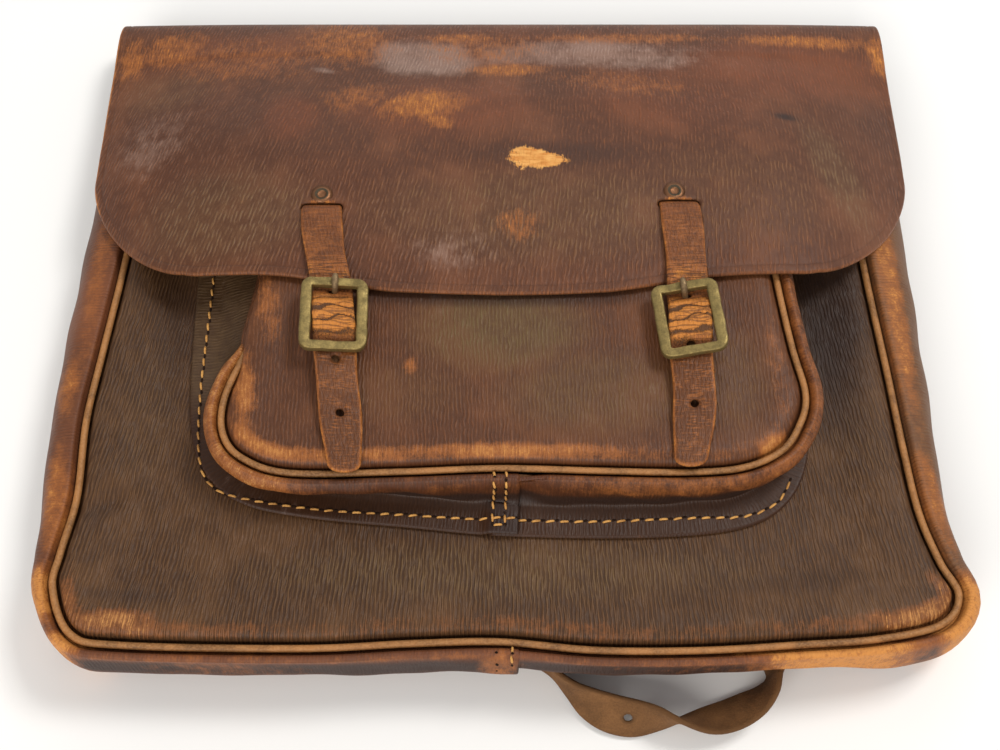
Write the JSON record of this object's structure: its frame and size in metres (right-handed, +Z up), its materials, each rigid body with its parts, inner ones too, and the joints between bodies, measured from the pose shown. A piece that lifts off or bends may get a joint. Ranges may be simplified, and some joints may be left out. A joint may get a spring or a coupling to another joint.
{
  "type": "school satchel",
  "caption": "Leather school satchel lying fastened on its back: full flap held by buckled straps, front pocket, piped gusset and a shoulder strap.",
  "frame": {"origin": "on the table under the middle of the bag, with the shoulder strap left out", "axes": "+X to the right as the bag is seen from above with the flap's fold at the top, +Y from the bottom gusset to the fold, +Z up from the table through the flap"},
  "size_m": [0.3908, 0.3573, 0.0771],
  "materials": {
    "flap_leather": "worn chestnut, satin",
    "panel_leather": "grained dark brown, dull",
    "gusset_leather": "worn reddish brown, satin",
    "strap_leather": "cracked brown, satin",
    "piping_leather": "worn tan",
    "suede_leather": "rough flesh side",
    "brass": "tarnished"
  },
  "bodies": {
    "root": {"back_and_flap": "flap_leather", "front_panel": "panel_leather", "gusset_left": "gusset_leather", "gusset_right": "gusset_leather", "body_piping": "piping_leather", "pocket_panel": "panel_leather", "pocket_gusset_left": "gusset_leather", "pocket_gusset_right": "gusset_leather", "pocket_piping": "piping_leather", "closing_strap_left": "strap_leather", "closing_strap_right": "strap_leather", "flap_rivet_left": "brass", "flap_rivet_right": "brass", "buckle_frame_left": "brass", "buckle_frame_right": "brass", "buckle_prong_left": "brass", "buckle_prong_right": "brass", "buckle_tab_left": "strap_leather", "buckle_tab_right": "strap_leather", "shoulder_strap": "suede_leather", "shoulder_rivet_left": "brass", "shoulder_rivet_right": "brass"}
  },
  "joints": []
}
